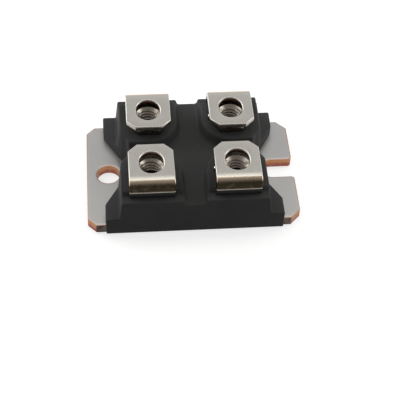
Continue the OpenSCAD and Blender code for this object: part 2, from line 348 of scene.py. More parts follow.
def patchy(tree, cover, waves, thin, thick):
    """A cover that noise makes thinner in some places and thicker in others."""
    return cover * between(grain(tree, waves), thin, thick)


def relief(tree, height, depth):
    """Bumps on the surface, as deep as the given depth in metres, for a shader's Normal."""
    return add(tree, "ShaderNodeBump", Distance=depth, Height=height).outputs["Normal"]


def attribute(tree, name):
    """A number that the mesh carries on its points."""
    reader = tree.nodes.new("ShaderNodeAttribute")
    reader.attribute_name = name
    return Wire(tree, reader.outputs["Fac"])


print("helpers for finishes are ready")

# %% [markdown]
# The body is black moulding compound. It is dull, a little cloudy from the flow of the compound, and
# has the fine pits of the mould's own surface. The pits could be modelled, but they are too many and
# too small. So they are bumps in the finish, from the finest of three noises: a slow one makes the
# clouds, and one between them the roughness.

# %% Moulding compound
MOULDING_DARK = (0.046, 0.046, 0.046, 1.0)
MOULDING_LIGHT = (0.070, 0.069, 0.069, 1.0)
CLOUD_WAVES = 0.25
MOULDING_WAVES = 6.0
MOULDING_ROUGHNESS = (0.44, 0.62)
MOULDING_GLOSS = 0.05
PIT_WAVES = 9.0
PIT_DEPTH = 0.008 * MM

moulding_finish, tree, shader = new_finish("black_moulding")
fill(tree, shader,
     Base_Color=blend(tree, grain(tree, CLOUD_WAVES), MOULDING_DARK, MOULDING_LIGHT),
     Roughness=between(grain(tree, MOULDING_WAVES), *MOULDING_ROUGHNESS),
     Specular_IOR_Level=MOULDING_GLOSS,
     Normal=relief(tree, grain(tree, PIT_WAVES), PIT_DEPTH))
print("black_moulding has", len(tree.nodes), "nodes")

# %% [markdown]
# The straps are copper with a satin nickel plating that shows the lines of the rolling mill. Four
# things change it: on the bend a warm tint is painted for its highlight and reflection, below that a
# dark brown reflection is painted on the leg, the sheared edges are bare copper, and low on the leg
# lies black painted shadow. Four materials could share the piece, but their borders would be hard.
# So one finish reads four numbers that the mesh carries on its points, and fades from one look to the
# next.

# %% Nickel on the straps
NICKEL_DARK = (0.555, 0.535, 0.488, 1.0)
NICKEL_LIGHT = (0.635, 0.615, 0.562, 1.0)
NICKEL_WAVES = 0.5
# warm colour painted on the bend as the tint of its highlight and reflection
BEND_WARM_TINT = (0.88, 0.70, 0.51, 1.0)
# dark brown painted reflection on the lower bend and the leg
LEG_DARK_REFLECTION = (0.0235, 0.0175, 0.0095, 1.0)
LEG_REFLECTION_PATCHES = (0.8, 0.9, 1.1)
SHEARED_COPPER = (0.13, 0.060, 0.038, 1.0)
SHEARED_PATCHES = (1.5, 0.8, 1.2)
# black painted shadow low on the leg, below the bead
LEG_PAINTED_SHADOW = (0.012, 0.012, 0.012, 1.0)
ROLLING_WAVES = 3.0
ROLLING_STRETCH = (1.0, 0.12, 1.0)
ROLLING_DEPTH = 0.0006 * MM
NICKEL_ROUGHNESS = (0.22, 0.30)
SHEARED_ROUGHER, SHADOW_ROUGHER = 0.15, 0.3

strap_finish, tree, shader = new_finish("satin_nickel")
marks = ("sheared", "warm_tint", "leg_reflection", "leg_shadow")
sheared, warm_tint, leg_reflection, leg_shadow = [attribute(tree, mark) for mark in marks]
metal = blend(tree, grain(tree, NICKEL_WAVES), NICKEL_DARK, NICKEL_LIGHT)
metal = blend(tree, warm_tint, metal, BEND_WARM_TINT)
metal = blend(tree, patchy(tree, leg_reflection, *LEG_REFLECTION_PATCHES), metal, LEG_DARK_REFLECTION)
metal = blend(tree, patchy(tree, sheared, *SHEARED_PATCHES), metal, SHEARED_COPPER)
rolling = grain(tree, ROLLING_WAVES, ROLLING_STRETCH)
rougher = sheared * SHEARED_ROUGHER + leg_shadow * SHADOW_ROUGHER
fill(tree, shader,
     Base_Color=blend(tree, leg_shadow, metal, LEG_PAINTED_SHADOW),
     Metallic=1.0 - leg_shadow,
     Roughness=between(rolling, *NICKEL_ROUGHNESS) + rougher,
     Normal=relief(tree, rolling, ROLLING_DEPTH))
print("satin_nickel has", len(tree.nodes), "nodes")

# %% [markdown]
# The base plate has a matt nickel coat, and its punched edge shows the copper. The punch shears the
# upper part of the edge, which is burnished, and the lower part breaks off, redder. A wavering line
# parts the two, and on the long edges a dark brown reflection is painted over the copper. An image of
# the edge would repeat, so the height above the floor sets the two bands, and noise that ignores the
# height makes the line waver.

# %% Nickel on the base plate
PLATE_DARK = (0.475, 0.466, 0.458, 1.0)
PLATE_LIGHT = (0.54, 0.53, 0.518, 1.0)
PLATE_WAVES = 0.22
BURNISHED_COPPER = (0.42, 0.170, 0.052, 1.0)
BROKEN_COPPER = (0.28, 0.064, 0.028, 1.0)
BREAK_Z = (0.55 * MM, 1.25 * MM)
BREAK_WAVES = 0.6
BREAK_STRETCH = (1.0, 1.0, 0.0)
BREAK_BLUR = 0.25 * MM
# dark brown painted reflection on the copper of the long edges
EDGE_DARK_REFLECTION = (0.038, 0.019, 0.011, 1.0)
EDGE_REFLECTION_PATCHES = (0.5, 0.75, 1.15)
BARE_PATCHES = (0.9, 0.7, 1.1)
MATT_WAVES = 5.0
MATT_ROUGHNESS = (0.34, 0.44)
MATT_PIT_WAVES = 8.0
MATT_PIT_DEPTH = 0.001 * MM

plate_finish, tree, shader = new_finish("matt_nickel")
height_above_floor = axes(tree, own_place(tree))[2]
above_break = height_above_floor - between(grain(tree, BREAK_WAVES, BREAK_STRETCH), *BREAK_Z)
copper = blend(tree, ramp(above_break, 0.0, BREAK_BLUR), BROKEN_COPPER, BURNISHED_COPPER)
edge_reflection = patchy(tree, attribute(tree, "edge_reflection"), *EDGE_REFLECTION_PATCHES)
copper = blend(tree, edge_reflection, copper, EDGE_DARK_REFLECTION)
plated = blend(tree, grain(tree, PLATE_WAVES), PLATE_DARK, PLATE_LIGHT)
bare = patchy(tree, attribute(tree, "sheared"), *BARE_PATCHES)
fill(tree, shader,
     Base_Color=blend(tree, bare, plated, copper),
     Metallic=1.0,
     Roughness=between(grain(tree, MATT_WAVES), *MATT_ROUGHNESS),
     Normal=relief(tree, grain(tree, MATT_PIT_WAVES), MATT_PIT_DEPTH))
print("matt_nickel has", len(tree.nodes), "nodes")

# %% [markdown]
# The nuts are steel with a warm plating. The crests of the thread and the chamfers keep the plain
# colour, the flats and the faces carry some painted shade, and the roots of the thread are painted
# dark as shade. A picture would have to be fitted along the thread, so the mesh says by one number how
# much painted shade each point has.

# %% Plated steel of the nuts
NUT_DARK = (0.65, 0.59, 0.50, 1.0)
NUT_LIGHT = (0.84, 0.77, 0.66, 1.0)
NUT_COLOUR_WAVES = 1.2
# dark colour painted as shade in the thread's roots and on the flats and faces
NUT_SHADE_COLOUR = (0.095, 0.078, 0.060, 1.0)
NUT_WAVES = 6.0
NUT_ROUGHNESS = (0.20, 0.32)

nut_finish, tree, shader = new_finish("plated_steel")
steel = blend(tree, grain(tree, NUT_COLOUR_WAVES), NUT_DARK, NUT_LIGHT)
fill(tree, shader,
     Base_Color=blend(tree, attribute(tree, "painted_shade"), steel, NUT_SHADE_COLOUR),
     Metallic=1.0,
     Roughness=between(grain(tree, NUT_WAVES), *NUT_ROUGHNESS))
print("plated_steel has", len(tree.nodes), "nodes")

# %% [markdown]
# The pieces sealed in the body never show, but a cut through it would bare copper, white ceramic and
# metallised silicon. These differ only in their two colours, in being metal or not, and in roughness.
# Three hand-made finishes would repeat the same nodes, so one loop makes them from those values.

# %% Finishes inside the body
INNER_COLOUR_WAVES = 0.8
INNER_WAVES = 4.0
INNER_ROUGHNESS_SPREAD = 0.15
INNER_FINISHES = {
    "bare_copper": ((0.60, 0.30, 0.17, 1.0), (0.72, 0.38, 0.22, 1.0), 1.0, 0.35),
    "white_ceramic": ((0.86, 0.85, 0.81, 1.0), (0.93, 0.92, 0.88, 1.0), 0.0, 0.55),
    "metallised_silicon": ((0.38, 0.40, 0.44, 1.0), (0.46, 0.48, 0.52, 1.0), 1.0, 0.25),
}
inner_finishes = {}
for name, (dark, light, metallic, smoothest) in INNER_FINISHES.items():
    inner_finishes[name], tree, shader = new_finish(name)
    roughest = smoothest + INNER_ROUGHNESS_SPREAD
    fill(tree, shader,
         Base_Color=blend(tree, grain(tree, INNER_COLOUR_WAVES), dark, light),
         Metallic=metallic,
         Roughness=between(grain(tree, INNER_WAVES), smoothest, roughest))
print("inner finishes:", list(inner_finishes))

# %% [markdown]
# The base plate and the straps are cut from copper strip, so both start as an outline. A curve object
# could hold it, but plain lists of points are easier to stack and to fill. Round stretches are arcs,
# and every outline can be moved inwards. It runs anticlockwise and its holes run clockwise, so that
# the sheet is always on the left.


# %% Outlines
def inset(loop, distance):
    """Moves every side of a closed loop to its left, with mitred corners."""
    points = np.array(loop, float)
    ahead = np.roll(points, -1, axis=0) - points
    ahead /= np.linalg.norm(ahead, axis=1, keepdims=True)
    left = np.stack([-ahead[:, 1], ahead[:, 0]], axis=1)
    before = np.roll(left, 1, axis=0)
    return points + distance * (left + before) / (1 + (left * before).sum(axis=1, keepdims=True))


def arc(centre, radius, start, end, steps):
    """Points on a circle from one angle to another, both in degrees."""
    turns = np.radians(np.linspace(start, end, steps + 1))
    return [(centre[0] + radius * math.cos(t), centre[1] + radius * math.sin(t)) for t in turns]


print("helpers for outlines are ready")

# %% [markdown]
# The punch pulls the upper edge of the sheet into a roll, and leaves a sheared wall where the plating
# is gone and the copper shows. A bevel modifier could round the edge, but it can't tell the wall from
# the roll. So each outline is stacked in rings from the lower face to the upper one, and each point
# remembers how bare it is. The roll is a quarter of an ellipse, or the upper part of one.

# %% Rolled edges
QUARTER = math.pi / 2
ROLL_STEPS = 8
BARE_SHARE = 0.5


def rolled_edge(drop, reach, start=0.0):
    """Section of a rolled edge from the wall up: how far in, how far below the top, and how bare."""
    section = []
    for step in range(ROLL_STEPS + 1):
        turn = start + step / ROLL_STEPS * (QUARTER - start)
        inward = reach * (1 - math.cos(turn) / math.cos(start))
        below = drop * (1 - math.sin(turn)) / (1 - math.sin(start))
        section.append((inward, below, max(0.0, 1 - step / ROLL_STEPS / BARE_SHARE)))
    return section


print("a rolled edge has", len(rolled_edge(MM, MM)), "rings")

# %% Blanks
SHARP_FROM = math.radians(30)


def blank(loops, thickness, deburr):
    """A flat sheet, deburred below. Each loop has the section of its edge and its share of bare copper."""
    bm = bmesh.new()
    layer = bm.verts.layers.float.new("sheared")
    rims = ([], [])
    for loop, edge, share in loops:
        section = [(deburr, 0.0, 0.0), (0.0, deburr, share)]
        section += [(inward, thickness - below, share * bare) for inward, below, bare in edge]
        rings = []
        for distance, height, cut in section:
            rings.append([bm.verts.new((x, y, height)) for x, y in inset(loop, distance)])
            for vert in rings[-1]:
                vert[layer] = cut
        for low, high in zip(rings, rings[1:]):
            for k in range(len(loop)):
                bm.faces.new((low[k - 1], low[k], high[k], high[k - 1]))
        for rim, ring in zip(rims, (rings[0], rings[-1])):
            rim += [bm.edges.get((ring[k - 1], ring[k])) for k in range(len(loop))]
    for rim in rims:
        bmesh.ops.triangle_fill(bm, edges=rim, use_beauty=True)
    bmesh.ops.recalc_face_normals(bm, faces=bm.faces)
    for face in bm.faces:
        face.smooth = True
    for edge in bm.edges:
        edge.smooth = edge.calc_face_angle(0.0) < SHARP_FROM
    return bm


def as_mesh(bm, name):
    """Turns a bmesh into a mesh, and frees the bmesh."""
    mesh = bpy.data.meshes.new(name)
    bm.to_mesh(mesh)
    bm.free()
    return mesh


print("faces that meet at", round(math.degrees(SHARP_FROM)), "degrees or more have a sharp edge")

# %% [markdown]
# A finished piece needs its material, the body that it rides on, and the name of the CAD solid that it
# stands for, which is then hidden. Nothing in the module moves, so every piece rides on the root body.
# All of this is the same for each piece, so one function does it.

# %% Place in the frame
BODY = "root"


def dress(piece, finish, stands_for):
    """Gives a piece its finish and its place in the frame."""
    if finish.name not in piece.data.materials:
        piece.data.materials.clear()
        piece.data.materials.append(finish)
    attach(piece, BODY)
    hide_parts(stands_for)


print("pieces will ride on", BODY)

# %% [markdown]
# A 2 mm plate of copper carries the heat to the sink. One end has a round hole and the other an open
# slot with a round inner end and rounded lips, and all four corners are cut off. A plate with cutters
# and booleans would do, but then no edge would know its roll. So the outline is one loop that goes
# round the slot on the way, and the hole is a second loop. Each cut corner has one more point, close
# to the long edge, where the painted dark reflection starts.

# %% Outline of the base plate
HOLE_END_CUT = 1.5 * MM
SLOT_END_CUT = 1.8 * MM
MOUNT_X = 15.1 * MM
MOUNT_R = 2.1 * MM
MOUNT_STEPS = 24
LIP_R = 0.6 * MM
LIP_STEPS = 6
BROWN_END = 0.1 * MM

end_x, side_y, plate_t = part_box("base_plate")[1]


def cut_corner(x_side, y_side, cut):
    """Points of a cut corner, from the end of the plate to its long side, where the painted dark
    reflection starts.
    """
    return [(x_side * end_x, y_side * (side_y - cut)),
            (x_side * (end_x - cut + BROWN_END), y_side * (side_y - BROWN_END)),
            (x_side * (end_x - cut), y_side * side_y)]


plate_loop = cut_corner(-1, -1, HOLE_END_CUT) + cut_corner(1, -1, SLOT_END_CUT)[::-1]
plate_loop += arc((end_x - LIP_R, -MOUNT_R - LIP_R), LIP_R, 0, 90, LIP_STEPS)
plate_loop += arc((MOUNT_X, 0.0), MOUNT_R, 270, 90, MOUNT_STEPS)
plate_loop += arc((end_x - LIP_R, MOUNT_R + LIP_R), LIP_R, -90, 0, LIP_STEPS)
plate_loop += cut_corner(1, 1, SLOT_END_CUT) + cut_corner(-1, 1, HOLE_END_CUT)[::-1]
hole_loop = arc((-MOUNT_X, 0.0), MOUNT_R, 360, 0, 2 * MOUNT_STEPS)[:-1]
print("the plate's outline has", len(plate_loop), "points, and its hole", len(hole_loop))

# %% [markdown]
# Under the punch the plate's edge sinks only a little, but over a wide strip. A full round would draw a
# dark rim round the hole, which the real plate doesn't have. So the section starts well up the
# ellipse. Its wall is bare copper all round, and only the two long edges carry the painted dark
# reflection.

# %% Base plate
PLATE_DROP = 0.08 * MM
PLATE_REACH = 0.55 * MM
PLATE_ROLL_FROM = math.radians(50)
PLATE_DEBURR = 0.06 * MM
ALL_SHEARED = 1.0

plate_edge = rolled_edge(PLATE_DROP, PLATE_REACH, PLATE_ROLL_FROM)
plate_loops = [(loop, plate_edge, ALL_SHEARED) for loop in (plate_loop, hole_loop)]
plate_blank = blank(plate_loops, plate_t, PLATE_DEBURR)
edge_reflection = plate_blank.verts.layers.float.new("edge_reflection")
# marks the long edges for the painted dark reflection
for vert in plate_blank.verts:
    vert[edge_reflection] = float(abs(vert.co.y) > side_y - BROWN_END / 2)
plate = new_object("base_plate_stamped", as_mesh(plate_blank, "base_plate_stamped"))
dress(plate, plate_finish, "base_plate")
print("base plate has", len(plate.data.polygons), "faces")

# %% [markdown]
# Each terminal starts as a flat strip with a screw hole and cut corners, and is then folded down over
# the side of its tower and in again to a foot inside the body. It could be modelled as it ends up, but
# a strip keeps its length and its marks when it folds, as the real one does. So it is laid out flat
# first. A press never folds on a line: the strip starts to turn on a wide radius, the lead, and then
# on a tight one. The lengths along the strip follow from the folded sizes.

# %% Lengths along the strip
SCREW_X, SCREW_Y = 7.5 * MM, 6.35 * MM
STRAP_T = 0.8 * MM
NOSE_L = 4.35 * MM
LEAD_R = 6.5 * MM
LEAD_TURN = math.radians(8.5)
BEND_R = 0.5 * MM
FOOT_R = 0.4 * MM
FOOT_L = 3.2 * MM

strap_low, strap_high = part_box("terminal_rear_right")
inner_z = strap_high.z - STRAP_T
leg_in_y = strap_high.y - STRAP_T
lead_at = leg_in_y - BEND_R - (SCREW_Y - NOSE_L) - (LEAD_R - BEND_R) * math.sin(LEAD_TURN)
fold_at = lead_at + LEAD_R * LEAD_TURN
leg_from = fold_at + BEND_R * (QUARTER - LEAD_TURN)
leg_top_z = inner_z - BEND_R - (LEAD_R - BEND_R) * (1 - math.cos(LEAD_TURN))
leg_l = leg_top_z - (strap_low.z + STRAP_T + FOOT_R)
foot_from = leg_from + leg_l + FOOT_R * QUARTER
strip_l = foot_from + FOOT_L - FOOT_R
print("strip is", round(strip_l / MM, 2), "mm long, its leg", round(leg_l / MM, 2), "mm")

# %% [markdown]
# The flat blank narrows to the foot at a shoulder inside the body. Its hole is a little longer than
# wide, for play. The punch rolls these edges round, unlike the plate's, and the hole's more than the
# sides. A bevel on the folded strap would have to know which edge is which, and here each loop brings
# its own section. The sides kept most of their plating, so their share of bare copper is small.

# %% Strap blank
STRAP_W = 8.0 * MM
NOSE_CUT = 1.6 * MM
FOOT_W = 4.0 * MM
SHOULDER_Z = 6.9 * MM
STRAP_HOLE_R = 2.1 * MM
STRAP_HOLE_PLAY = 0.6 * MM
STRAP_HOLE_STEPS = 28
STRAP_ROLL = 0.20 * MM
HOLE_ROLL = 0.28 * MM
STRAP_DEBURR = 0.05 * MM
SIDES_SHEARED = 0.28


def length_at(z):
    """Length along the strip at which the leg passes a height."""
    return leg_from + leg_top_z - z


half_w, half_foot, shoulder_at = STRAP_W / 2, FOOT_W / 2, length_at(SHOULDER_Z)
strip_loop = [
    (NOSE_CUT - half_w, 0.0), (half_w - NOSE_CUT, 0.0), (half_w, NOSE_CUT), (half_w, shoulder_at),
    (half_foot, shoulder_at), (half_foot, strip_l), (-half_foot, strip_l), (-half_foot, shoulder_at),
    (-half_w, shoulder_at), (-half_w, NOSE_CUT),
]
screw_loop = arc((0.0, NOSE_L + STRAP_HOLE_PLAY / 2), STRAP_HOLE_R, 180, 0, STRAP_HOLE_STEPS)
screw_loop += arc((0.0, NOSE_L - STRAP_HOLE_PLAY / 2), STRAP_HOLE_R, 0, -180, STRAP_HOLE_STEPS)
strip_loops = [(strip_loop, rolled_edge(STRAP_ROLL, STRAP_ROLL), SIDES_SHEARED),
               (screw_loop, rolled_edge(HOLE_ROLL, HOLE_ROLL), ALL_SHEARED)]
strip = blank(strip_loops, STRAP_T, STRAP_DEBURR)
print("strap blank has", len(strip.faces), "faces")

# %% [markdown]
# A mesh bends only where it has points, and a long flat face has none. Subdividing it all would make
# thousands of faces that nothing needs. So the strip is sliced across, only where it will bend, where
# the bead low on the leg rises, and where the black painted shadow below the bead starts and ends.

# %% Slices
LEAD_STEPS = 6
BEND_STEPS = 16
BEAD_Z = 9.65 * MM
BEAD_W = 0.5 * MM
BEAD_STEPS = 8
# where the black painted shadow on the leg ends, and how soft its edges are
SHADOW_END_Z = 8.0 * MM
SHADOW_EDGE = 0.04 * MM
ON_SLICE = 0.0001 * MM

bead_from, bead_to = length_at(BEAD_Z) - BEAD_W / 2, length_at(BEAD_Z) + BEAD_W / 2
shadow_from, shadow_to = bead_to + SHADOW_EDGE, length_at(SHADOW_END_Z)
slices = [lead_at - STRAP_ROLL, *np.linspace(lead_at, fold_at, LEAD_STEPS, endpoint=False)]
slices += [*np.linspace(fold_at, leg_from, BEND_STEPS + 1)]
slices += [*np.linspace(bead_from, bead_to, BEAD_STEPS + 1), shadow_from, shadow_to, shadow_to + SHADOW_EDGE]
slices += [*np.linspace(leg_from + leg_l, foot_from, BEND_STEPS + 1), foot_from + STRAP_ROLL]
for length in slices:
    bmesh.ops.bisect_plane(strip, geom=strip.verts[:] + strip.edges[:] + strip.faces[:], dist=ON_SLICE,
                           plane_co=(0, length, 0), plane_no=(0, 1, 0))
print("strip is sliced at", len(slices), "lengths")

# %% [markdown]
# Where the strip starts to bend, a warm tint is painted into the plating for the bend's highlight and
# reflection, and further round and down the leg a dark brown reflection is painted. Low on the leg the
# press leaves a narrow bead that catches the light; the painted reflection is mostly left off it, so it
# shows lighter, and below it black painted shadow covers the metal. These could be painted by hand,
# but each follows the length along the strip, so each point works out its own marks.

# %% Bead, painted warm tint, painted reflection and painted shadow
BEAD_RISE = 0.12 * MM
# share of the painted dark reflection that is left off the bead, so that the bead shows lighter
BEAD_CLEAR_SHARE = 0.7
WARM_TINT_FROM, WARM_TINT_FULL = math.radians(12), math.radians(24)
LEG_REFLECTION_FROM, LEG_REFLECTION_FULL = math.radians(46), math.radians(61)

shadow_edges = (bead_to, shadow_from, shadow_to, shadow_to + SHADOW_EDGE)
warm_tint = strip.verts.layers.float.new("warm_tint")
leg_reflection = strip.verts.layers.float.new("leg_reflection")
leg_shadow = strip.verts.layers.float.new("leg_shadow")
# each point gets its painted warm tint, painted dark reflection and painted shadow from its length
for vert in strip.verts:
    length = vert.co.y
    bead = math.sin(np.interp(length, (bead_from, bead_to), (0.0, math.pi))) ** 2
    vert.co.z *= 1 + bead * BEAD_RISE / STRAP_T
    turned = LEAD_TURN + (length - fold_at) / BEND_R
    warmth = np.interp(turned, (WARM_TINT_FROM, WARM_TINT_FULL), (0.0, 1.0))
    darkening = np.interp(turned, (LEG_REFLECTION_FROM, LEG_REFLECTION_FULL), (0.0, 1.0))
    vert[warm_tint] = (1 - bead) * warmth
    vert[leg_reflection] = (1 - BEAD_CLEAR_SHARE * bead) * darkening
    vert[leg_shadow] = np.interp(length, shadow_edges, (0.0, 1.0, 1.0, 0.0))
strip_mesh = as_mesh(strip, "strap_blank")
print("strip has", len(strip_mesh.polygons), "faces")

# %% [markdown]
# Geometry Nodes can bend a strip and repeat a nut by rule. A tree is built like a shader: inputs with
# names for the sizes, nodes joined by links, and an output. It could stay on its object as a live
# modifier, but other programs know only meshes. So each tree is solved once, and the result takes the
# place of the mesh. An input of the modifier is set by its identifier, because names may repeat.


# %% Trees
def geometry_tree(name, sizes):
    """A new tree with an input for each size, given as name and value, and one for the finish."""
    tree = bpy.data.node_groups.new(name, "GeometryNodeTree")
    face = tree.interface
    face.new_socket("Geometry", in_out="INPUT", socket_type="NodeSocketGeometry")
    for label, value in sizes.items():
        face.new_socket(label, in_out="INPUT", socket_type="NodeSocketFloat").default_value = value
    face.new_socket("Finish", in_out="INPUT", socket_type="NodeSocketMaterial")
    face.new_socket("Geometry", in_out="OUTPUT", socket_type="NodeSocketGeometry")
    start = tree.nodes.new("NodeGroupInput")
    return tree, start, {label: Wire(tree, start.outputs[label]) for label in sizes}


def coordinates(tree):
    """The position of each point, as three wires."""
    return axes(tree, tree.nodes.new("GeometryNodeInputPosition").outputs[0])


def end_tree(tree, start, geometry):
    """Makes instances real, sets the finish, and ends the tree."""
    real = add(tree, "GeometryNodeRealizeInstances", Geometry=geometry)
    painted = add(tree, "GeometryNodeSetMaterial", Geometry=real.outputs[0],
                  Material=start.outputs["Finish"])
    add(tree, "NodeGroupOutput", Geometry=painted.outputs[0])


print("helpers for trees are ready")


# %% Solved pieces
def solve(piece):
    """Gives a piece the plain mesh that its modifiers make of it, and removes them."""
    bpy.context.view_layer.update()
    solved = piece.evaluated_get(bpy.context.evaluated_depsgraph_get())
    plain = bpy.data.meshes.new_from_object(solved)
    piece.modifiers.clear()
    piece.data = plain
    plain.name = piece.name
    print(piece.name, "has", len(plain.polygons), "faces")


def grown(name, mesh, tree, values):
    """A piece with the plain mesh that a tree makes of a mesh, with these values for its inputs."""
    piece = new_object(name, mesh)
    modifier = piece.modifiers.new(tree.name, "NODES")
    modifier.node_group = tree
    for socket in tree.interface.items_tree:
        if socket.in_out == "INPUT" and socket.name in values:
            modifier[socket.identifier] = values[socket.name]
    solve(piece)
    return piece


print("helpers for solved pieces are ready")

# %% [markdown]
# Folding is a rule. A point keeps its height above the inner face, and the strip turns by a quarter
# circle at the bend and by another one at the foot. A Simple Deform modifier could bend it too, but
# not on three radii with straight stretches between them. The first cell works out how far the strip
# has turned at each point, and the second one where that takes the point.

# %% Turn at each point
strap_sizes = {
    "Lead at": lead_at, "Lead radius": LEAD_R, "Lead turn": LEAD_TURN, "Bend radius": BEND_R,
    "Leg length": leg_l, "Foot radius": FOOT_R, "Screw x": SCREW_X, "Nose y": SCREW_Y - NOSE_L,
    "Inner face z": inner_z, "Turn": 0.0,
}
fold_tree, start, size = geometry_tree("Fold strap", strap_sizes)
across, length, height = coordinates(fold_tree)
past_lead = length - size["Lead at"]
past_fold = past_lead - size["Lead radius"] * size["Lead turn"]
rest_of_turn = QUARTER - size["Lead turn"]
past_leg = past_fold - size["Bend radius"] * rest_of_turn
past_foot = past_leg - size["Leg length"]
past_end = past_foot - size["Foot radius"] * QUARTER
lead = (past_lead / size["Lead radius"]).clamped(0.0, size["Lead turn"])
folded = lead + (past_fold / size["Bend radius"]).clamped(0.0, rest_of_turn)
tuck = (past_foot / size["Foot radius"]).clamped(0.0, QUARTER)
turned = folded + tuck
print("the turn takes", len(fold_tree.nodes), "nodes")

# %% Folding tree
along = (length.math("MINIMUM", size["Lead at"])
         + size["Lead radius"] * lead.math("SINE")
         + size["Bend radius"] * (folded.math("SINE") - lead.math("SINE"))
         - size["Foot radius"] * (1.0 - tuck.math("COSINE"))
         - past_end.math("MAXIMUM", 0.0)
         + height * turned.math("SINE"))
down = (size["Lead radius"] * (1.0 - lead.math("COSINE"))
        + size["Bend radius"] * (lead.math("COSINE") - folded.math("COSINE"))
        + past_leg.clamped(0.0, size["Leg length"])
        + size["Foot radius"] * tuck.math("SINE")
        - height * turned.math("COSINE"))
place = add(fold_tree, "ShaderNodeCombineXYZ", X=across + size["Screw x"], Y=along + size["Nose y"],
            Z=size["Inner face z"] - down)
moved = add(fold_tree, "GeometryNodeSetPosition", Geometry=start.outputs["Geometry"],
            Position=place.outputs[0])
about = add(fold_tree, "ShaderNodeCombineXYZ", Z=size["Turn"])
spun = add(fold_tree, "GeometryNodeTransform", Geometry=moved.outputs[0], Rotation=about.outputs[0])
end_tree(fold_tree, start, spun.outputs[0])
print("the folding tree has", len(fold_tree.nodes), "nodes")

# %% [markdown]
# The rear straps come out of the tree as they stand, and the front ones are turned by half a circle. A
# mirror would do for them, but it turns faces inside out, and a turn doesn't. One strip and one tree
# make all four terminals.

# %% Four straps
for side, y_side, turn in (("front", -1, math.pi), ("rear", 1, 0.0)):
    for hand, x_side in (("left", -1), ("right", 1)):
        terminal = f"terminal_{side}_{hand}"
        seat = {"Screw x": SCREW_X * x_side * y_side, "Turn": turn}
        strap = grown(terminal + "_folded", strip_mesh.copy(), fold_tree,
                      {**strap_sizes, **seat, "Finish": strap_finish})
        dress(strap, strap_finish, terminal)
print("screw holes lie", SCREW_X / MM, "and", SCREW_Y / MM, "mm from the middle")

# %% [markdown]
# Under each strap sits a hexagon nut, and its bright thread shows through the screw hole. The nut's
# form is all rule: a hexagon cut by a cone at both faces, and a bore whose wall swings in and out once
# for each pitch as it climbs. A cone cut by a boolean leaves ragged lines and long thin faces. So four
# flat grids are rolled up round the axis, each by a rule of its own, and the hexagon's grid has its
# rows along the lines of the cut.

# %% Sizes of the nut
nut_low, nut_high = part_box("terminal_nuts")
nut_sizes = {
    "Across flats": 7.0 * MM, "Height": nut_high.z - nut_low.z, "Face radius": 3.3 * MM,
    "Crest radius": 1.65 * MM, "Root radius": 2.02 * MM, "Pitch": 0.7 * MM, "Sink radius": 2.35 * MM,
    "Pitch x": 2 * SCREW_X, "Pitch y": 2 * SCREW_Y, "Seat z": nut_low.z,
}
nut_tree, start, size = geometry_tree("Threaded nuts", nut_sizes)
print("nut is", round(nut_sizes["Height"] / MM, 2), "mm high")

# %% Rolled sheets
NUT_COLUMNS = 96


def sheet(rows, rule, inside_out):
    """Rolls a flat unit grid up round the nut's axis by a rule of turn and rise."""
    grid = add(nut_tree, "GeometryNodeMeshGrid", Size_X=1.0, Size_Y=1.0, Vertices_X=NUT_COLUMNS + 1,
               Vertices_Y=rows)
    x, y, _ = coordinates(nut_tree)
    turn, rise = x + 0.5, y + 0.5
    radius, height, painted_shade = rule(turn, rise)
    marked = add(nut_tree, "GeometryNodeStoreNamedAttribute", Geometry=grid.outputs[0], Name="painted_shade",
                 Value=painted_shade)
    angle = turn * (2 * math.pi)
    place = add(nut_tree, "ShaderNodeCombineXYZ", X=radius * angle.math("COSINE"),
                Y=radius * angle.math("SINE"), Z=height)
    rolled = add(nut_tree, "GeometryNodeSetPosition", Geometry=marked.outputs[0],
                 Position=place.outputs[0])
    if inside_out:
        rolled = add(nut_tree, "GeometryNodeFlipFaces", Mesh=rolled.outputs[0])
    return rolled.outputs[0]


print("a turn of the nut has", NUT_COLUMNS, "columns")

# %% Hexagon
HEX_ROWS = 6
NUT_SIDES = 6
SIDE_TURN = 2 * math.pi / NUT_SIDES
CHAMFER_ANGLE = math.radians(30)
CUT_LINE = 0.06
# share of painted shade on the flats and the faces
SHADED_FACES = 0.6


def hexagon(turn, rise):
    """Six flats with painted shade between two cones of plain colour, with a row at each face and two
    along each cut.
    """
    flat = (turn * NUT_SIDES).math("FRACT") * SIDE_TURN - SIDE_TURN / 2
    past_face = size["Across flats"] / 2.0 / flat.math("COSINE") - size["Face radius"]
    cut = past_face * math.tan(CHAMFER_ANGLE)
    row = rise * (HEX_ROWS - 1)
    cut_below = ramp(row, 0, 1) * (1 - CUT_LINE) + ramp(row, 1, 2) * CUT_LINE
    cut_above = ramp(row, 3, 4) * CUT_LINE + ramp(row, 4, 5) * (1 - CUT_LINE)
    height = cut * (cut_below + cut_above) + (size["Height"] - cut * 2.0) * ramp(row, 2, 3)
    on_flat = ramp(row, 1, 2) * ramp(row, 4, 3)
    return size["Face radius"] + past_face * (cut_below - cut_above), height, on_flat * SHADED_FACES


outside = sheet(HEX_ROWS, hexagon, False)
print("the hexagon has", HEX_ROWS, "rows")

# %% Thread and faces
THREAD_ROWS = 65
RING_ROWS = 2
CREST_SHARE = 0.12


def thread(turn, rise):
    """A bore whose wall swings from crest to root once for each pitch, countersunk at both ends, with
    painted shade in the roots.
    """
    height = size["Height"] * rise
    wave = (height / size["Pitch"] - turn).math("PINGPONG", 0.5) * 2.0
    flank = ramp(wave, CREST_SHARE, 1 - CREST_SHARE)
    wall = between(flank, size["Crest radius"], size["Root radius"])
    cone = size["Sink radius"] - height.math("MINIMUM", size["Height"] - height)
    # the third value is painted shade, darkest in the roots of the thread
    return wall.math("MAXIMUM", cone), height, flank * wall.math("GREATER_THAN", cone)


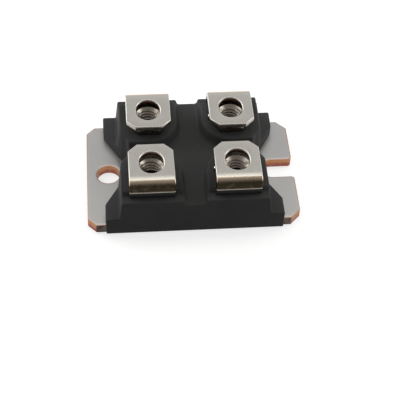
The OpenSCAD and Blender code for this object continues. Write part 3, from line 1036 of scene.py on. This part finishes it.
def face_ring(rise, height):
    """A flat ring with painted shade between the countersink and the chamfer."""
    return between(rise, size["Sink radius"], size["Face radius"]), height, SHADED_FACES


surfaces = [
    outside,
    sheet(THREAD_ROWS, thread, True),
    sheet(RING_ROWS, lambda turn, rise: face_ring(rise, size["Height"]), True),
    sheet(RING_ROWS, lambda turn, rise: face_ring(rise, 0.0), False),
]
print("the nut has", len(surfaces), "surfaces")

# %% [markdown]
# The four surfaces meet edge to edge, so a weld makes one closed nut of them. The nut could be copied
# by hand, but a two by two grid has its points just where the screw holes are. One nut is set on each
# point, turned by a side more than the last, and all four become one real mesh.

# %% Four nuts
WELD = 0.001 * MM

joined = nut_tree.nodes.new("GeometryNodeJoinGeometry")
for surface in surfaces:
    nut_tree.links.new(surface, joined.inputs[0])
welded = add(nut_tree, "GeometryNodeMergeByDistance", Geometry=joined.outputs[0], Distance=WELD)
seats = add(nut_tree, "GeometryNodeMeshGrid", Size_X=size["Pitch x"], Size_Y=size["Pitch y"],
            Vertices_X=2, Vertices_Y=2)
number = Wire(nut_tree, nut_tree.nodes.new("GeometryNodeInputIndex").outputs[0])
about = add(nut_tree, "ShaderNodeCombineXYZ", Z=number * SIDE_TURN)
set_out = add(nut_tree, "GeometryNodeInstanceOnPoints", Points=seats.outputs[0],
              Instance=welded.outputs[0], Rotation=about.outputs[0])
lift = add(nut_tree, "ShaderNodeCombineXYZ", Z=size["Seat z"])
seated = add(nut_tree, "GeometryNodeTransform", Geometry=set_out.outputs[0], Translation=lift.outputs[0])
end_tree(nut_tree, start, seated.outputs[0])
nuts = grown("terminal_nuts_threaded", bpy.data.meshes.new("nut_seed"), nut_tree,
             {**nut_sizes, "Finish": nut_finish})
nuts.data.set_sharp_from_angle(angle=SHARP_FROM)
dress(nuts, nut_finish, "terminal_nuts")
print("the nut tree has", len(nut_tree.nodes), "nodes")

# %% [markdown]
# The black body is one moulding, and no edge that left the mould is quite sharp. Its CAD solid has
# every form but the rounding. To build it again would risk another form, so a copy of the solid is
# merged into one skin. Its flat faces, which come as triangles, are joined again, so that a bevel
# meets only real edges.

# %% Skin of the housing
FLAT_WITHIN = math.radians(0.6)

housing = bmesh.new()
housing.from_mesh(nodes["housing"].data)
bmesh.ops.remove_doubles(housing, verts=housing.verts, dist=WELD)
bmesh.ops.dissolve_degenerate(housing, dist=WELD, edges=housing.edges)
bmesh.ops.dissolve_limit(housing, angle_limit=FLAT_WITHIN, verts=housing.verts, edges=housing.edges,
                         use_dissolve_boundaries=False)
print("housing skin:", len(housing.edges), "edges and", len(housing.faces), "faces")

# %% [markdown]
# Edges that lie against the plate, a leg, an inner piece or a nut stay sharp, because the compound
# fills those corners. They could be picked by hand in the viewport, but a script can ask each edge
# where it lies: inside the box of another piece, or in the pocket of a nut.

# %% Where the compound meets other pieces
TOUCH = 0.03 * MM
POCKET_R = 4.3 * MM
POCKET_FLOOR_Z = 5.0 * MM

contact_boxes = [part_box(n) for n in nodes if n != "housing" and not n.startswith("terminal")]
for x_side in (-1, 1):
    for y_side in (-1, 1):
        near, far = sorted((y_side * leg_in_y, y_side * strap_high.y))
        contact_boxes.append((Vector((x_side * SCREW_X - half_w, near, 0.0)),
                              Vector((x_side * SCREW_X + half_w, far, strap_high.z))))


def touches_other_piece(point):
    """True on a piece that the compound flows round, and in the pocket of a nut."""
    for low, high in contact_boxes:
        if all(low[i] - TOUCH <= point[i] <= high[i] + TOUCH for i in range(3)):
            return True
    in_pocket = math.hypot(abs(point.x) - SCREW_X, abs(point.y) - SCREW_Y) < POCKET_R
    return in_pocket and point.z > POCKET_FLOOR_Z


print("the compound touches", len(contact_boxes), "boxes")

# %% [markdown]
# A mould is cut with a small radius on its edges, and with a wider fillet where the towers rise from
# the floor of the channel. Two bevels in a row would meet badly at the corners. One Bevel modifier that
# reads a weight on each edge gives both: the full width for the widest fillet, and a share of it for
# the other edges. In a narrow place the fillet shrinks with the gap.

# %% Edges to round
EDGE_R = 0.28 * MM
FILLET_R = 0.5 * MM
FILLET_SHARE = 0.8
CHANNEL_Z = 7.15 * MM

weight = housing.edges.layers.float.new("bevel_weight_edge")
rounded = 0
for edge in housing.edges:
    ends = [vert.co for vert in edge.verts]
    middle = (ends[0] + ends[1]) / 2
    if edge.calc_face_angle(0.0) < SHARP_FROM or touches_other_piece(middle):
        continue
    radius = EDGE_R
    if not edge.is_convex and all(abs(end.z - CHANNEL_Z) < TOUCH for end in ends):
        half_gap = min(abs(middle.x), abs(middle.y))
        radius = min(FILLET_R, FILLET_SHARE * half_gap)
    edge[weight] = radius / FILLET_R
    rounded += 1
print("edges to round:", rounded)

# %% Rounded housing
ROUND_STEPS = 3

body = new_object("housing_rounded", as_mesh(housing, "housing_skin"))
rounding = body.modifiers.new("edges", "BEVEL")
rounding.width = FILLET_R
rounding.segments = ROUND_STEPS
rounding.limit_method = "WEIGHT"
rounding.use_clamp_overlap = False
rounding.loop_slide = False
solve(body)
body.data.set_sharp_from_angle(angle=SHARP_FROM)
dress(body, moulding_finish, "housing")
print("housing edges have", ROUND_STEPS, "steps of rounding")

# %% [markdown]
# The ceramic, the copper pads, the two silicon dies and their clips are sealed in the moulding. New
# meshes would add nothing that shows, so their CAD solids stay as they are, each with the finish that
# it would show if the body were cut open.

# %% Inner finishes
INNER_PIECES = {
    "ceramic": "white_ceramic", "substrate": "bare_copper", "cathode": "bare_copper",
    "anode": "bare_copper", "diode_die": "metallised_silicon",
}
for name, node in nodes.items():
    for kind, finish in INNER_PIECES.items():
        if name.startswith(kind):
            node.data.materials.clear()
            node.data.materials.append(inner_finishes[finish])
            print(name, "in", finish)
